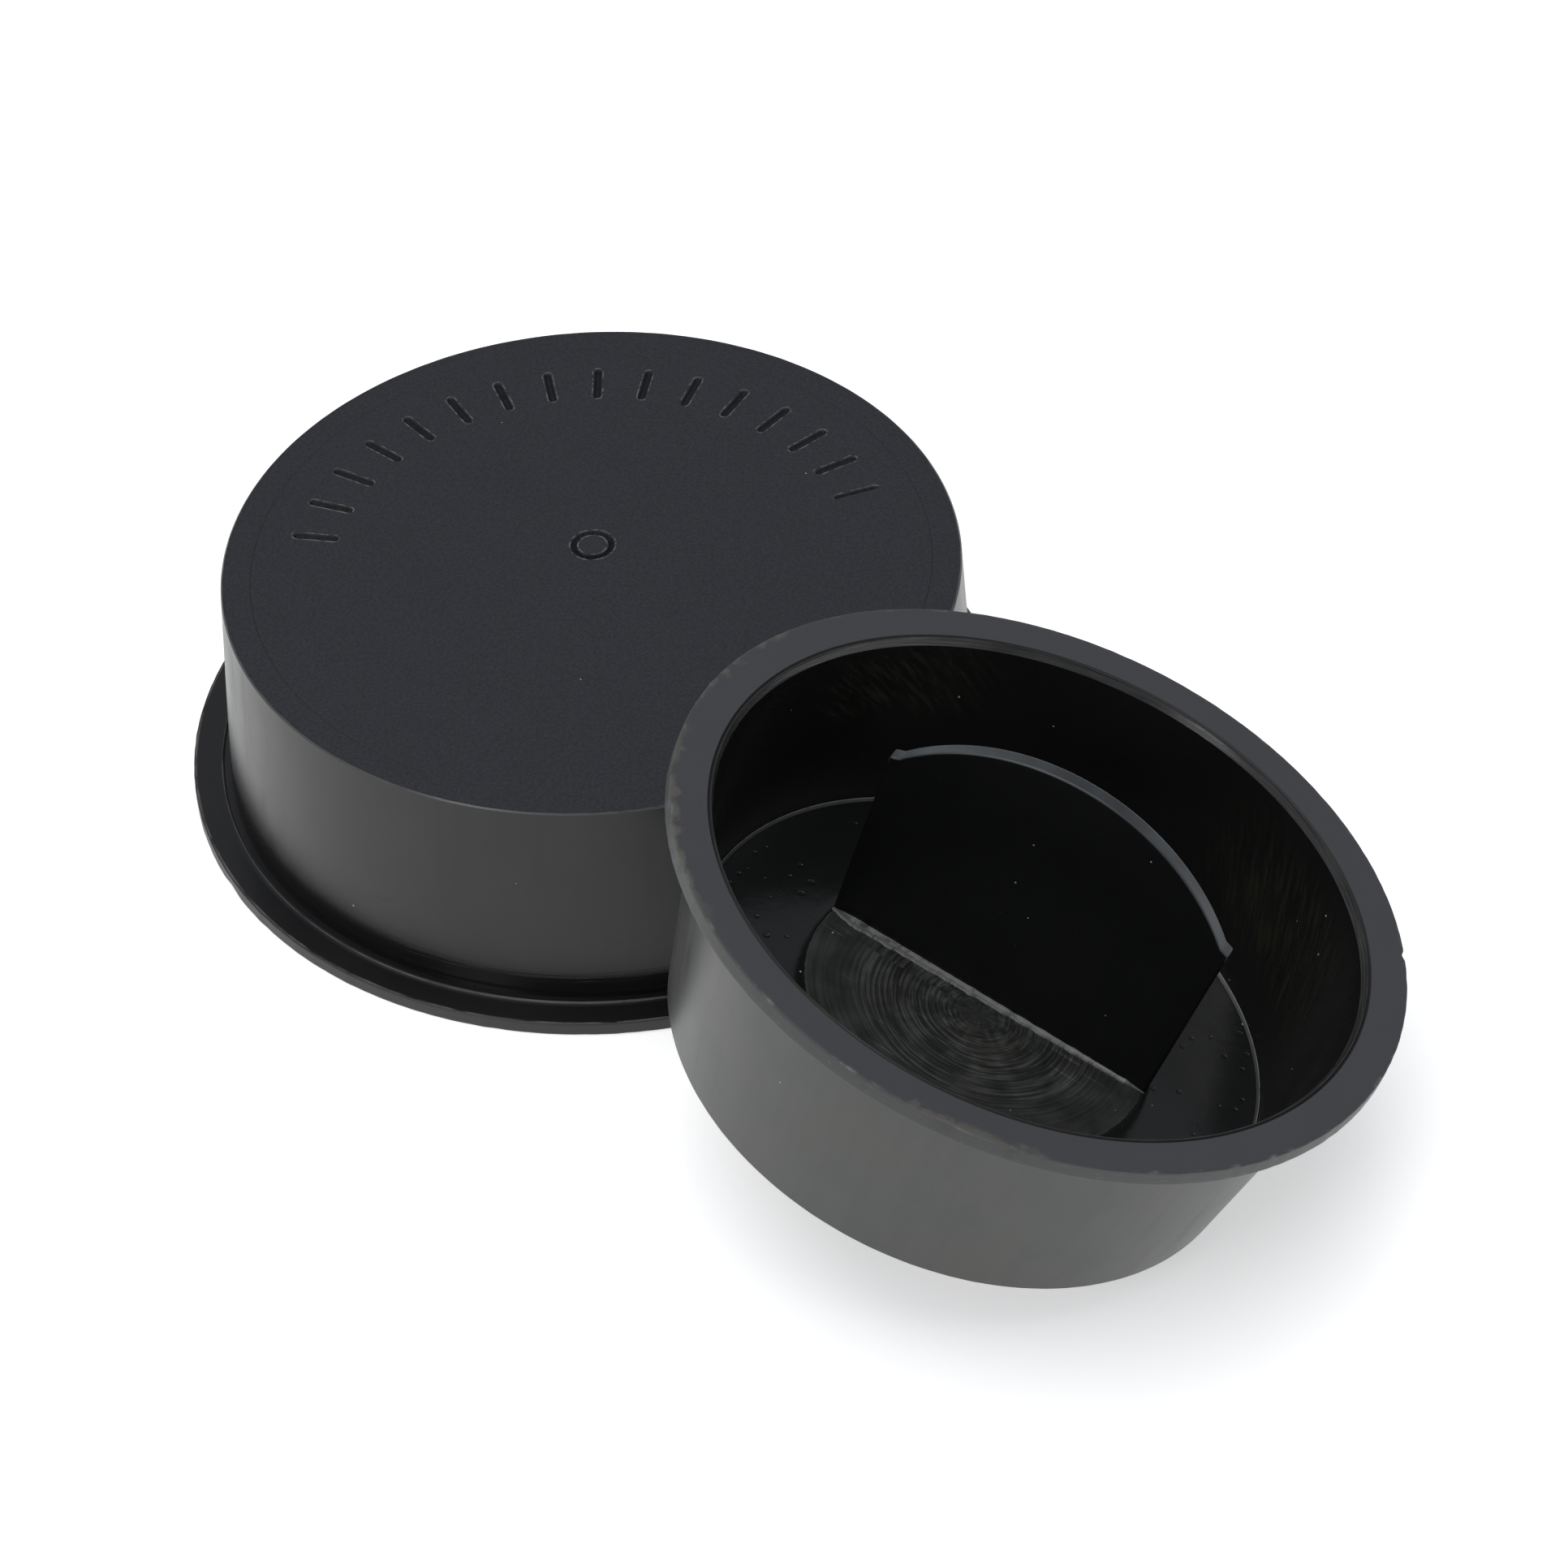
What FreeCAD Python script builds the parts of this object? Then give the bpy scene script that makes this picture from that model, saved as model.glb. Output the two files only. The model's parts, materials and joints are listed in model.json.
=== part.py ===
import FreeCAD, Part
import Sketcher
import math
import os

# A pair of black flanged plug caps for round tube mouths, in millimetres.
# The large cap lies closed face up, with its open mouth and flange on the table.
# The small cap stands on the edge of its closed end, mouth up, and leans beside the large one.
# The origin is the centre of the large cap's mouth, on the table, and +Z is up.
#
# Each cap is drawn in a frame of its own: the axis is Z, the outside of the closed end is at
# Z = 0 and the rim of the mouth is at Z = height. A placement then lays it on the table.

# Driving dimensions of each cap.
CAPS = {
    "large": {
        "height": 17.0,
        "face_radius": 25.4,            # outside of the closed end, 2 in across
        "wall_radius": 26.2,            # outside of the tapered wall, under the flange
        "flange_radius": 28.8,
        "flange_thickness": 1.0,
        "wall_thickness": 1.3,          # at the mouth
        "floor_wall_thickness": 1.6,    # at the floor
        "floor_depth": 12.4,            # from the rim of the mouth to the inside floor
        "pad_radius": 13.6,
        "grip_shoulder_height": 7.0,    # the grip ends inside the mouth, so that the cap lies flat
        "grip_crest_height": 12.0,
    },
    "small": {
        "height": 16.8,
        "face_radius": 19.6,
        "wall_radius": 22.6,
        "flange_radius": 24.7,
        "flange_thickness": 1.1,
        "wall_thickness": 0.9,
        "floor_wall_thickness": 1.1,
        "floor_depth": 12.4,
        "pad_radius": 11.8,
        "grip_shoulder_height": 12.8,   # the shoulders are level with the rim
        "grip_crest_height": 19.0,      # and the arch stands proud of it
    },
}

# Dimensions that both caps share.
LIP_THICKNESS = 0.4         # thin lip of the sleeve inside the flange ring
LIP_LAND = 0.1              # flat top of that lip
LIP_CHAMFER_DEPTH = 0.5
SEAM_TO_FACE_RATIO = 0.92   # end disc's radius on the closed face, over the face's own
LEDGE_HEIGHT = 2.2          # the end disc rests on a ledge this far inside the closed end
PAD_THICKNESS = 1.0
GRIP_THICKNESS = 1.1
GRIP_SETBACK = 1.6          # near face of the grip, behind the cap's axis
GRIP_SPLAY = 0.7            # each side of the grip leans out by this much at the shoulder
TENON_DEPTH = 0.5
TENON_INSET = 1.4           # the tenon is this much shorter than the grip's foot, at each end

# Shallow engraved marks on the large closed face: an arc of ticks and a ring at the middle.
MARK_DEPTH = 0.25
TICK_COUNT = 16
TICK_ARC = 150.0
TICK_FIRST_ANGLE = 22.0
TICK_RADIUS = 19.4
TICK_HALF_LENGTH = 1.6
TICK_HALF_WIDTH = 0.3
RING_RADIUS = 1.3
RING_WIDTH = 0.4
RING_OFFSET = 1.8

# How the small cap stands.
LEAN_ANGLE = 20.0
LEAN_HEADING = 3.0
GRIP_TURN = -27.6
STANDING_BEARING = -56.0
STANDING_DISTANCE = 45.35


def derived_sizes(cap):
    """Every radius and height that the sketches of one cap use."""
    sizes = dict(cap)
    height = cap["height"]
    floor = height - cap["floor_depth"]
    shoulder = height - cap["flange_thickness"]
    slope = (cap["wall_radius"] - cap["face_radius"]) / shoulder
    sizes["floor_level"] = floor
    sizes["ledge_level"] = LEDGE_HEIGHT
    sizes["pad_seat_level"] = floor - PAD_THICKNESS
    sizes["flange_seat_level"] = shoulder
    sizes["plug_radius"] = SEAM_TO_FACE_RATIO * cap["face_radius"]
    sizes["floor_radius"] = cap["face_radius"] + slope * floor - cap["floor_wall_thickness"]
    sizes["mouth_radius"] = cap["wall_radius"] - cap["wall_thickness"]
    sizes["lip_radius"] = sizes["mouth_radius"] + LIP_THICKNESS
    sizes["lip_land_radius"] = sizes["lip_radius"] - LIP_LAND
    sizes["chamfer_level"] = height - LIP_CHAMFER_DEPTH
    add_grip_sizes(sizes)
    return sizes


def add_grip_sizes(sizes):
    """The grip's foot spans the pad, and its arch runs through both shoulders and the crest."""
    foot = sizes["pad_radius"] - 0.05
    half_span = foot + GRIP_SPLAY
    rise = sizes["grip_crest_height"] - sizes["grip_shoulder_height"]
    sizes["grip_foot"] = foot
    sizes["grip_shoulder"] = half_span
    sizes["grip_shoulder_level"] = sizes["floor_level"] + sizes["grip_shoulder_height"]
    sizes["grip_crest_level"] = sizes["floor_level"] + sizes["grip_crest_height"]
    sizes["grip_arch_radius"] = (half_span ** 2 + rise ** 2) / (2.0 * rise)
    sizes["grip_thickness"] = GRIP_THICKNESS
    sizes["grip_setback"] = GRIP_SETBACK
    sizes["tenon_half_length"] = foot - TENON_INSET
    sizes["tenon_level"] = sizes["floor_level"] - TENON_DEPTH


def mark_sizes():
    """Sizes of the engraved marks on the large closed face."""
    return {
        "mark_depth": MARK_DEPTH,
        "tick_inner": TICK_RADIUS - TICK_HALF_LENGTH,
        "tick_outer": TICK_RADIUS + TICK_HALF_LENGTH,
        "tick_half_width": TICK_HALF_WIDTH,
        "ring_inner": RING_RADIUS - RING_WIDTH / 2.0,
        "ring_outer": RING_RADIUS + RING_WIDTH / 2.0,
        "ring_offset": RING_OFFSET,
    }


def write_sheet(document, groups):
    """Write each group of sizes to the sheet, with one alias to a cell, and return them all."""
    sheet = document.addObject("Spreadsheet::Sheet", "Sizes")
    values = {}
    row = 1
    for group, sizes in groups.items():
        for name, value in sizes.items():
            alias = group + "_" + name
            sheet.set("A%d" % row, alias)
            sheet.set("B%d" % row, repr(float(value)))
            sheet.setAlias("B%d" % row, alias)
            values[alias] = float(value)
            row += 1
    document.recompute()
    return values


class Builder:
    """Makes bodies whose sketches and features are bound to the sheet's cells."""

    def __init__(self, document, values):
        self.document = document
        self.values = values

    def body(self, label):
        body = self.document.addObject("PartDesign::Body", label)
        body.Label = label
        return body

    def plane(self, body, role):
        return [item for item in body.Origin.OriginFeatures if item.Role == role][0]

    def sketch(self, body, name, role):
        sketch = body.newObject("Sketcher::SketchObject", name)
        sketch.AttachmentSupport = [(self.plane(body, role), "")]
        sketch.MapMode = "FlatFace"
        return sketch

    def bind(self, sketch, kind, references, alias):
        """Add one sized constraint and tie it to its cell."""
        constraint = Sketcher.Constraint(kind, *references, self.values[alias])
        index = sketch.addConstraint(constraint)
        sketch.setExpression("Constraints[%d]" % index, "Sizes." + alias)

    def pin_point(self, sketch, edge, end, across, up):
        """Fix one vertex by its distances from the sketch's origin. None is on the axis."""
        if across is None:
            sketch.addConstraint(Sketcher.Constraint("PointOnObject", edge, end, -2))
        else:
            self.bind(sketch, "DistanceX", (-1, 1, edge, end), across)
        if up is None:
            sketch.addConstraint(Sketcher.Constraint("PointOnObject", edge, end, -1))
        else:
            self.bind(sketch, "DistanceY", (-1, 1, edge, end), up)

    def point(self, across, up):
        return FreeCAD.Vector(self.values.get(across, 0.0), self.values.get(up, 0.0), 0.0)

    def polygon(self, sketch, corners):
        """A closed outline through the corners, each a pair of aliases or None for zero."""
        points = [self.point(across, up) for across, up in corners]
        count = len(points)
        for i in range(count):
            sketch.addGeometry(Part.LineSegment(points[i], points[(i + 1) % count]))
        for i in range(count):
            sketch.addConstraint(Sketcher.Constraint("Coincident", i, 2, (i + 1) % count, 1))
        for i, (across, up) in enumerate(corners):
            self.pin_point(sketch, i, 1, across, up)

    def turned(self, label, corners):
        """A body turned about Z from its half section."""
        body = self.body(label)
        section = self.sketch(body, label + "_section", "XZ_Plane")
        self.polygon(section, corners)
        turning = body.newObject("PartDesign::Revolution", label + "_turning")
        turning.Profile = section
        turning.ReferenceAxis = (section, ["V_Axis"])
        turning.Angle = 360.0
        body.Tip = turning
        self.document.recompute()
        return body

    def pocket(self, body, sketch, alias, reverse):
        """Cut a sketch into the body to the depth in a cell, and check that it removed material."""
        before = body.Shape.Volume
        cut = body.newObject("PartDesign::Pocket", sketch.Label + "_pocket")
        cut.Profile = sketch
        cut.Reversed = reverse
        cut.setExpression("Length", "Sizes." + alias)
        body.Tip = cut
        self.document.recompute()
        if body.Shape.Volume >= before:
            raise RuntimeError(sketch.Label + " cuts nothing")
        return cut


def flange_ring(builder, cap):
    """The flat ring around the mouth, seated on the sleeve's shoulder."""
    lip, edge = cap + "_lip_radius", cap + "_flange_radius"
    seat, rim = cap + "_flange_seat_level", cap + "_height"
    return builder.turned(cap + "_flange_ring", [(lip, seat), (edge, seat), (edge, rim), (lip, rim)])


def sleeve(builder, cap):
    """The tapered wall, with a ledge for the end disc and a thin lip inside the flange ring."""
    return builder.turned(cap + "_sleeve", [
        (cap + "_plug_radius", None),
        (cap + "_face_radius", None),
        (cap + "_wall_radius", cap + "_flange_seat_level"),
        (cap + "_lip_radius", cap + "_flange_seat_level"),
        (cap + "_lip_radius", cap + "_height"),
        (cap + "_lip_land_radius", cap + "_height"),
        (cap + "_mouth_radius", cap + "_chamfer_level"),
        (cap + "_floor_radius", cap + "_floor_level"),
        (cap + "_floor_radius", cap + "_ledge_level"),
        (cap + "_plug_radius", cap + "_ledge_level"),
    ])


def end_disc(builder, cap):
    """The stepped disc that closes the end, with a round seat for the grip's pad."""
    return builder.turned(cap + "_end_disc", [
        (None, None),
        (cap + "_plug_radius", None),
        (cap + "_plug_radius", cap + "_ledge_level"),
        (cap + "_floor_radius", cap + "_ledge_level"),
        (cap + "_floor_radius", cap + "_floor_level"),
        (cap + "_pad_radius", cap + "_floor_level"),
        (cap + "_pad_radius", cap + "_pad_seat_level"),
        (None, cap + "_pad_seat_level"),
    ])


def engrave_ticks(builder, body):
    """One tick cut into the closed face, repeated round an arc."""
    sketch = builder.sketch(body, "tick", "XY_Plane")
    spin = FreeCAD.Rotation(FreeCAD.Vector(0, 0, 1), -TICK_FIRST_ANGLE)
    sketch.AttachmentOffset = FreeCAD.Placement(FreeCAD.Vector(), spin)
    corners = [("inner", -1), ("outer", -1), ("outer", 1), ("inner", 1)]
    half = builder.values["marks_tick_half_width"]
    points = [FreeCAD.Vector(builder.values["marks_tick_" + end], side * half, 0)
              for end, side in corners]
    for i in range(4):
        sketch.addGeometry(Part.LineSegment(points[i], points[(i + 1) % 4]))
    for i in range(4):
        sketch.addConstraint(Sketcher.Constraint("Coincident", i, 2, (i + 1) % 4, 1))
    sketch.addConstraint(Sketcher.Constraint("Symmetric", 0, 1, 3, 1, -1))
    sketch.addConstraint(Sketcher.Constraint("Symmetric", 1, 1, 2, 1, -1))
    builder.pin_point(sketch, 2, 1, "marks_tick_outer", "marks_tick_half_width")
    builder.bind(sketch, "DistanceX", (-1, 1, 3, 1), "marks_tick_inner")
    builder.bind(sketch, "DistanceY", (-1, 1, 3, 1), "marks_tick_half_width")
    cut = builder.pocket(body, sketch, "marks_mark_depth", True)
    pattern = body.newObject("PartDesign::PolarPattern", "tick_pattern")
    pattern.Originals = [cut]
    pattern.Axis = (builder.plane(body, "Z_Axis"), [""])
    pattern.Angle = TICK_ARC
    pattern.Occurrences = TICK_COUNT
    pattern.Reversed = True
    body.Tip = pattern


def engrave_ring(builder, body):
    """A small ring near the middle of the closed face, cut as one circle inside another."""
    sketch = builder.sketch(body, "ring", "XY_Plane")
    centre = FreeCAD.Vector(0, -builder.values["marks_ring_offset"], 0)
    axis = FreeCAD.Vector(0, 0, 1)
    for size in ("inner", "outer"):
        radius = builder.values["marks_ring_" + size]
        edge = sketch.addGeometry(Part.Circle(centre, axis, radius))
        sketch.addConstraint(Sketcher.Constraint("PointOnObject", edge, 3, -2))
        builder.bind(sketch, "DistanceY", (edge, 3, -1, 1), "marks_ring_offset")
        builder.bind(sketch, "Radius", (edge,), "marks_ring_" + size)
    builder.pocket(body, sketch, "marks_mark_depth", True)


def grip_pad(builder, cap):
    """The round pad let into the floor, with a slot for the grip's tenon."""
    body = builder.turned(cap + "_grip_pad", [
        (None, cap + "_pad_seat_level"),
        (cap + "_pad_radius", cap + "_pad_seat_level"),
        (cap + "_pad_radius", cap + "_floor_level"),
        (None, cap + "_floor_level"),
    ])
    sketch = grip_outline(builder, body, cap, "slot", tenon_only=True)
    builder.pocket(body, sketch, cap + "_grip_thickness", False)
    return body


def grip_web(builder, cap):
    """The thin upright plate that fingers pinch, with an arched top and a tenon below."""
    body = builder.body(cap + "_grip_web")
    sketch = grip_outline(builder, body, cap, "plate", tenon_only=False)
    pad = body.newObject("PartDesign::Pad", cap + "_plate_pad")
    pad.Profile = sketch
    pad.Reversed = True
    pad.setExpression("Length", "Sizes." + cap + "_grip_thickness")
    body.Tip = pad
    builder.document.recompute()
    return body


def grip_outline(builder, body, cap, name, tenon_only):
    """The grip's outline, or only its tenon's, on the plane of its near face."""
    sketch = builder.sketch(body, cap + "_" + name, "XZ_Plane")
    sketch.setExpression(".AttachmentOffset.Base.z", "-Sizes." + cap + "_grip_setback")
    tenon = [("tenon_half_length", "floor_level"), ("tenon_half_length", "tenon_level")]
    side = [("grip_shoulder", "grip_shoulder_level"), ("grip_foot", "floor_level")]
    right = tenon if tenon_only else side + tenon
    right = [(cap + "_" + across, cap + "_" + up) for across, up in right]
    points = [builder.point(across, up) for across, up in right]
    mirrored = [FreeCAD.Vector(-p.x, p.y, 0) for p in reversed(points)]
    ring = points + mirrored
    count = len(ring)
    for i in range(count - 1):
        sketch.addGeometry(Part.LineSegment(ring[i], ring[i + 1]))
    if tenon_only:
        sketch.addGeometry(Part.LineSegment(ring[-1], ring[0]))
    else:
        crest = FreeCAD.Vector(0, builder.values[cap + "_grip_crest_level"], 0)
        sketch.addGeometry(Part.Arc(ring[0], crest, ring[-1]))
    closing = count - 1
    first_end, last_end = (2, 1) if tenon_only else (1, 2)
    for i in range(count - 2):
        sketch.addConstraint(Sketcher.Constraint("Coincident", i, 2, i + 1, 1))
    sketch.addConstraint(Sketcher.Constraint("Coincident", closing, first_end, 0, 1))
    sketch.addConstraint(Sketcher.Constraint("Coincident", closing, last_end, closing - 1, 2))
    half = len(points)
    for i, (across, up) in enumerate(right):
        builder.pin_point(sketch, i, 1, across, up)
        mirror = count - 1 - i
        edge, end = (mirror, 1) if mirror < closing else (closing - 1, 2)
        sketch.addConstraint(Sketcher.Constraint("Symmetric", i, 1, edge, end, -2))
    if not tenon_only:
        builder.bind(sketch, "Radius", (closing,), cap + "_grip_arch_radius")
    return sketch


def make_cap(builder, cap):
    """All five pieces of one cap, in the cap's own frame."""
    disc = end_disc(builder, cap)
    if cap == "large":
        engrave_ticks(builder, disc)
        engrave_ring(builder, disc)
    return [flange_ring(builder, cap), sleeve(builder, cap), disc,
            grip_pad(builder, cap), grip_web(builder, cap)]


def large_placement():
    """Turned over, so that the rim of the mouth is on the table."""
    over = FreeCAD.Rotation(FreeCAD.Vector(1, 0, 0), 180.0)
    return FreeCAD.Placement(FreeCAD.Vector(0, 0, CAPS["large"]["height"]), over)


def small_placement():
    """Leaning on one edge of its closed end, with that edge on the table."""
    up = FreeCAD.Vector(0, 0, 1)
    heading = FreeCAD.Rotation(up, LEAN_HEADING)
    lean = FreeCAD.Rotation(FreeCAD.Vector(0, 1, 0), LEAN_ANGLE)
    turn = FreeCAD.Rotation(up, GRIP_TURN)
    bearing = math.radians(STANDING_BEARING)
    raised = CAPS["small"]["face_radius"] * math.sin(math.radians(LEAN_ANGLE))
    base = FreeCAD.Vector(STANDING_DISTANCE * math.cos(bearing),
                          STANDING_DISTANCE * math.sin(bearing), raised)
    return FreeCAD.Placement(base, heading * lean * turn)


def check(document, pieces):
    """Stop if any object failed or any piece isn't one valid solid."""
    for item in document.Objects:
        for word in ("Invalid", "Error"):
            if word in item.State:
                raise RuntimeError(item.Label + " is " + word)
    for piece in pieces:
        shape = piece.Shape
        if shape.isNull() or not shape.isValid() or len(shape.Solids) != 1:
            raise RuntimeError(piece.Label + " isn't one valid solid")


def main():
    document = FreeCAD.newDocument("plug_caps")
    groups = {cap: derived_sizes(CAPS[cap]) for cap in CAPS}
    groups["marks"] = mark_sizes()
    builder = Builder(document, write_sheet(document, groups))
    placements = {"large": large_placement(), "small": small_placement()}
    pieces = []
    for cap, placement in placements.items():
        for piece in make_cap(builder, cap):
            piece.Placement = placement
            pieces.append(piece)
    document.recompute()
    check(document, pieces)
    os.makedirs("parts", exist_ok=True)
    for piece in pieces:
        piece.Shape.exportStep("parts/" + piece.Label + ".step")
        print("%-20s %9.1f mm3" % (piece.Label, piece.Shape.Volume))


main()
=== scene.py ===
import json
import math

import bmesh
import bpy
import numpy as np
from mathutils import Matrix, Quaternion, Vector, noise


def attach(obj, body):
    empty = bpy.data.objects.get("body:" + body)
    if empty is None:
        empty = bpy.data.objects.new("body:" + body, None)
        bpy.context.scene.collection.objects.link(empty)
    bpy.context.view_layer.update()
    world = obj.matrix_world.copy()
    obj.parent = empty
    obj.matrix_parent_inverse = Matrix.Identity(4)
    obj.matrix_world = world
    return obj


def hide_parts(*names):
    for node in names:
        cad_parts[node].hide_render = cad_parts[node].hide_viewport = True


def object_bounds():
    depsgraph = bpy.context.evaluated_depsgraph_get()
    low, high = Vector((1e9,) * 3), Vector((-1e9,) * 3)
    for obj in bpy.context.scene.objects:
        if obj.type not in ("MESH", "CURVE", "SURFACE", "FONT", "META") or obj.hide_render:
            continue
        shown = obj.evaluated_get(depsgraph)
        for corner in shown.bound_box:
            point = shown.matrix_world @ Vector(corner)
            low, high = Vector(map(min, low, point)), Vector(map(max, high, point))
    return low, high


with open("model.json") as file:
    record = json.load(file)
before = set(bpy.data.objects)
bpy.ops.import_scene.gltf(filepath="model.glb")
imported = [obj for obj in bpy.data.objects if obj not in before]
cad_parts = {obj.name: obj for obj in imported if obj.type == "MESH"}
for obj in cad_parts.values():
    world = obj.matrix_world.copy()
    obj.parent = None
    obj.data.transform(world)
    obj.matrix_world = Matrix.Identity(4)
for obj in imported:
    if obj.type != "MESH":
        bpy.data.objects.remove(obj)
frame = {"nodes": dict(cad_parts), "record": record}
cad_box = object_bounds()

# The looks of a pair of black plastic plug caps. Every size and place is read from the frame.
# Each cap is worked on in coordinates of its own: its axis is Z, the outside of its closed end
# is at level 0, and the rim of its mouth is at the top. The grip runs along X.

MM = 0.001
SAME_LEVEL = 0.02 * MM      # corners closer than this in height are on one level

# Camera, around the middle of the object.
CAMERA_AZIMUTH = 3.8
CAMERA_ELEVATION = 42.6
CAMERA_ROLL = -2.6
CAMERA_DISTANCE = 0.405
CAMERA_AIM = Vector((1.0, -1.9, -2.1)) * MM
LENS = 139.75
SENSOR = 36.0

FLOOR_GLOW = 0.5            # light the floor gives off itself: it stays white, its shadow faint
FLOOR_HALF = 4.0            # metres, so that its edge is out of sight at low angles
HORIZON = (0.78, 0.785, 0.79, 1.0)
HORIZON_TOP = 0.02          # heights on the world's sphere between which the room darkens
SKY = (0.30, 0.31, 0.33, 1.0)
SKY_FOOT = 0.20

# The arc of ticks and the small marks on the large closed face.
TICK_COUNT = 16
TICK_STEP = 10.0            # degrees from one tick to the next
TICK_FIRST = -22.0
TICK_MIDDLE_RADIUS = 19.4 * MM
TICK_HALF_LENGTH = 1.6 * MM
TICK_HALF_WIDTH = 0.26 * MM
RING_CENTRE = (0.0, -1.8 * MM)
RING_RADIUS = 1.3 * MM
RING_HALF_WIDTH = 0.2 * MM
MARK_DEPTH = 0.2 * MM

WALL_ARM = 22.0 * MM        # about the radius of the walls, to lay them out flat
LIP_JOINT = 0.13 * MM       # half width and depth of the fine gap between flange and lip
EDGE_CHAMFER = 0.10 * MM    # turned off the edge between the closed face and the wall
RIDGE_OUT = 0.55 * MM       # from the foot of the wall to the turned ridge round it
FLOOR_BEAD = 0.18 * MM      # cement where the inner floor meets the wall


# ---------------------------------------------------------------- reading the frame

def corners_of(node):
    """The corners of a CAD node's mesh, one row each."""
    mesh = frame["nodes"][node].data
    flat = np.empty(len(mesh.vertices) * 3, np.float32)
    mesh.vertices.foreach_get("co", flat)
    return flat.reshape(-1, 3).astype(float)


def main_direction(points):
    """The direction in which these points spread furthest."""
    direction = np.linalg.svd(points - points.mean(0), full_matrices=False)[2][0]
    return direction if direction[0] > 0 else -direction


class Cap:
    """One cap: where it stands, and the levels and radii of its pieces in its own coordinates."""

    def __init__(self, name):
        self.name = name
        self.body = name + "_cap"
        mounts = {mount["name"]: mount for mount in frame["record"]["mounts"]}
        mount = mounts[name + "_plug"]
        rim = np.array(mount["pos_m"], float)
        up = np.array(mount["axis"], float)
        sleeve = corners_of(name + "_sleeve")
        if ((sleeve - rim) @ up).mean() > 0:
            up = -up
        height = np.ptp(sleeve @ up)
        across = main_direction(corners_of(name + "_grip_web"))
        self.turn = np.column_stack([across, np.cross(up, across), up])
        self.base = rim - up * height

    def points(self, piece):
        return (corners_of(self.name + "_" + piece) - self.base) @ self.turn

    def levels(self, piece):
        """The levels of a piece's corners, lowest first."""
        heights = np.sort(self.points(piece)[:, 2])
        return heights[np.diff(heights, prepend=-1.0) > SAME_LEVEL]

    def radii(self, piece, level):
        """The smallest and largest radius of a piece's corners on one level."""
        points = self.points(piece)
        ring = points[np.abs(points[:, 2] - level) < SAME_LEVEL]
        reach = np.hypot(ring[:, 0], ring[:, 1])
        return reach.min(), reach.max()


# ---------------------------------------------------------------- building meshes

class Corner:
    """A corner of a turned section. The finish and the steps are those of the side after it."""

    def __init__(self, radius, level, finish="hidden", rounding=0.0, steps=1):
        self.place = Vector((radius, level))
        self.finish = finish
        self.rounding = rounding
        self.steps = steps


def arc_at(before, corner, after, rounding, steps=4):
    """Points of the arc that rounds a corner."""
    back = (before - corner).normalized()
    ahead = (after - corner).normalized()
    half = back.angle(ahead) / 2.0
    centre = corner + (back + ahead).normalized() * (rounding / math.sin(half))
    start = corner + back * (rounding / math.tan(half)) - centre
    end = corner + ahead * (rounding / math.tan(half)) - centre
    sweep = start.angle_signed(end)
    return [centre + Matrix.Rotation(-sweep * i / steps, 2) @ start for i in range(steps + 1)]


def section(corners, closed):
    """The points of a section, and the finish of the side after each point."""
    points, finishes = [], []
    count = len(corners)
    for i, corner in enumerate(corners):
        before = corners[i - 1].place
        after = corners[(i + 1) % count].place
        if corner.rounding > 0:
            turn = arc_at(before, corner.place, after, corner.rounding)
        else:
            turn = [corner.place]
        points += turn
        finishes += [corner.finish] * len(turn)
        if not closed and i == count - 1:
            break
        following = corners[(i + 1) % count]
        for step in range(1, corner.steps):
            points.append(turn[-1].lerp(following.place, step / corner.steps))
            finishes.append(corner.finish)
    return np.array(points), finishes


def even_angles(count):
    return np.arange(count) * (2.0 * math.pi / count)


def mesh_object(cap, name, vertices, faces, finishes, materials):
    """A smooth piece in the cap's place. finishes names the material of each face."""
    mesh = bpy.data.meshes.new(name)
    placed = np.array(vertices) @ cap.turn.T + cap.base
    mesh.from_pydata(placed.tolist(), [], faces)
    names = sorted(set(finishes))
    for finish in names:
        mesh.materials.append(materials[finish])
    index = {finish: i for i, finish in enumerate(names)}
    mesh.polygons.foreach_set("material_index", [index[finish] for finish in finishes])
    shape = bmesh.new()
    shape.from_mesh(mesh)
    bmesh.ops.remove_doubles(shape, verts=shape.verts, dist=1e-7)
    bmesh.ops.recalc_face_normals(shape, faces=shape.faces)
    shape.to_mesh(mesh)
    shape.free()
    mesh.shade_smooth()
    mesh.set_sharp_from_angle(angle=math.radians(32.0))
    piece = bpy.data.objects.new(name, mesh)
    bpy.context.scene.collection.objects.link(piece)
    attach(piece, cap.body)
    return piece


def lathe(cap, name, corners, materials, angles=None, alter=None, closed=True):
    """A piece turned about the cap's axis. alter moves its points, given radius, level, angle."""
    angles = even_angles(480) if angles is None else angles
    points, finishes = section(corners, closed)
    radius = np.repeat(points[None, :, 0], len(angles), 0)
    level = np.repeat(points[None, :, 1], len(angles), 0)
    angle = np.repeat(angles[:, None], len(points), 1)
    if alter:
        radius, level = alter(radius, level, angle)
    vertices = np.stack([radius * np.cos(angle), radius * np.sin(angle), level], 2).reshape(-1, 3)
    around, along = len(angles), len(points)
    sides = along if closed else along - 1
    faces, names = [], []
    for i in range(around):
        here, there = i * along, (i + 1) % around * along
        for k in range(sides):
            following = (k + 1) % along
            faces.append((here + k, here + following, there + following, there + k))
            names.append(finishes[k])
    return mesh_object(cap, name, vertices, faces, names, materials)


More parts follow.
